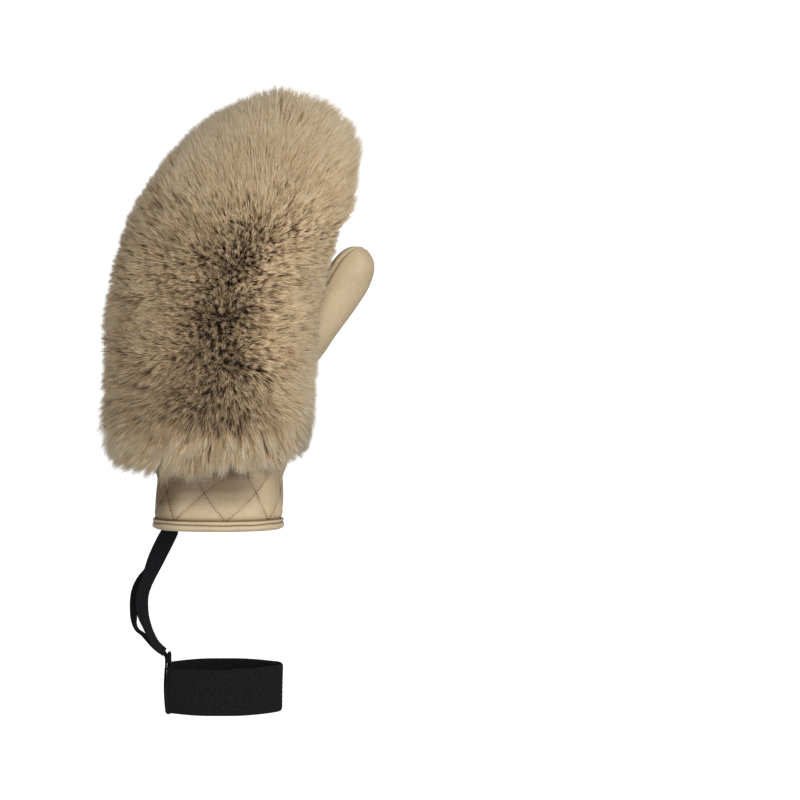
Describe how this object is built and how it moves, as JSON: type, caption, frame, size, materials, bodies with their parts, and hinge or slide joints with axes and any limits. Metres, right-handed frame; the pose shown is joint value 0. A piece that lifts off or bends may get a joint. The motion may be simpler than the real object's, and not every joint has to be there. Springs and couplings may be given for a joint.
{
  "type": "ski mitten",
  "caption": "Left-hand ski mitten: deep faux fur back, leather palm and thumb, quilted cuff, and an elastic wrist band on a webbing leash.",
  "frame": {"origin": "middle of the cuff's mouth, level with the lowest edge of the hem binding", "axes": "+Z from the hem to the finger tips, +X to the thumb side, -Y to the back of the hand"},
  "size_m": [0.1823, 0.0778, 0.4191],
  "materials": {
    "leather": "soft beige nappa, satin",
    "fur": "frosted faux fur, light beige tips over dark brown roots",
    "webbing": "black woven tape",
    "elastic": "black ribbed elastic"
  },
  "bodies": {
    "root": {"back_panel": "leather", "palm_panel": "leather", "thumb_back": "leather", "thumb_front": "leather", "cuff": "leather", "cuff_binding": "leather", "fur_back": "fur", "leash_strap": "webbing", "band_strap": "webbing", "wrist_band": "elastic"}
  },
  "joints": []
}
